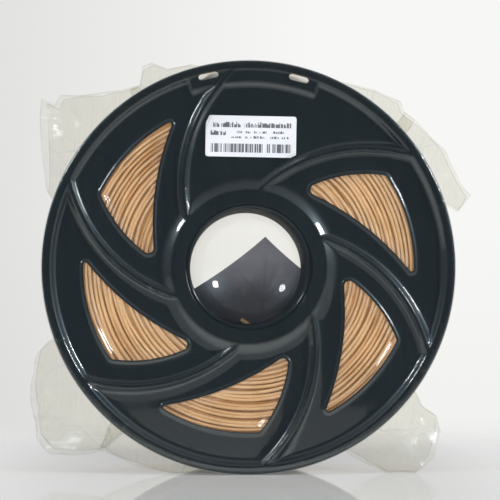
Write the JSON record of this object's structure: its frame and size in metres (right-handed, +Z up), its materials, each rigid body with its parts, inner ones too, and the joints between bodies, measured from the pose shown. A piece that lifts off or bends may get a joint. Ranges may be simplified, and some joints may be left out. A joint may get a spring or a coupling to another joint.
{
  "type": "filament spool",
  "caption": "Upright filament spool with swirl-ribbed, windowed flanges over wound filament, in a clear shrunk bag with loose corner flaps; it turns on a shaft in its bore.",
  "frame": {"origin": "middle of the hub bore, on the spool's axis", "axes": "Y along the spool's axis with the labelled flange facing -Y, +Z up, +X to the right as seen from the front"},
  "size_m": [0.2145, 0.0721, 0.2008],
  "materials": {
    "spool_plastic": "glossy moulded",
    "filament": "satin, wood filled",
    "label_paper": "coated paper",
    "sachet_cloth": "matt nonwoven",
    "bag_film": "clear glossy film"
  },
  "bodies": {
    "root": {"front_flange": "spool_plastic", "rear_flange": "spool_plastic", "hub_core": "spool_plastic", "filament_winding": "filament", "outer_turns": "filament", "filament_start": "filament", "label": "label_paper", "desiccant_sachet": "sachet_cloth", "vacuum_bag": "bag_film"}
  },
  "joints": []
}
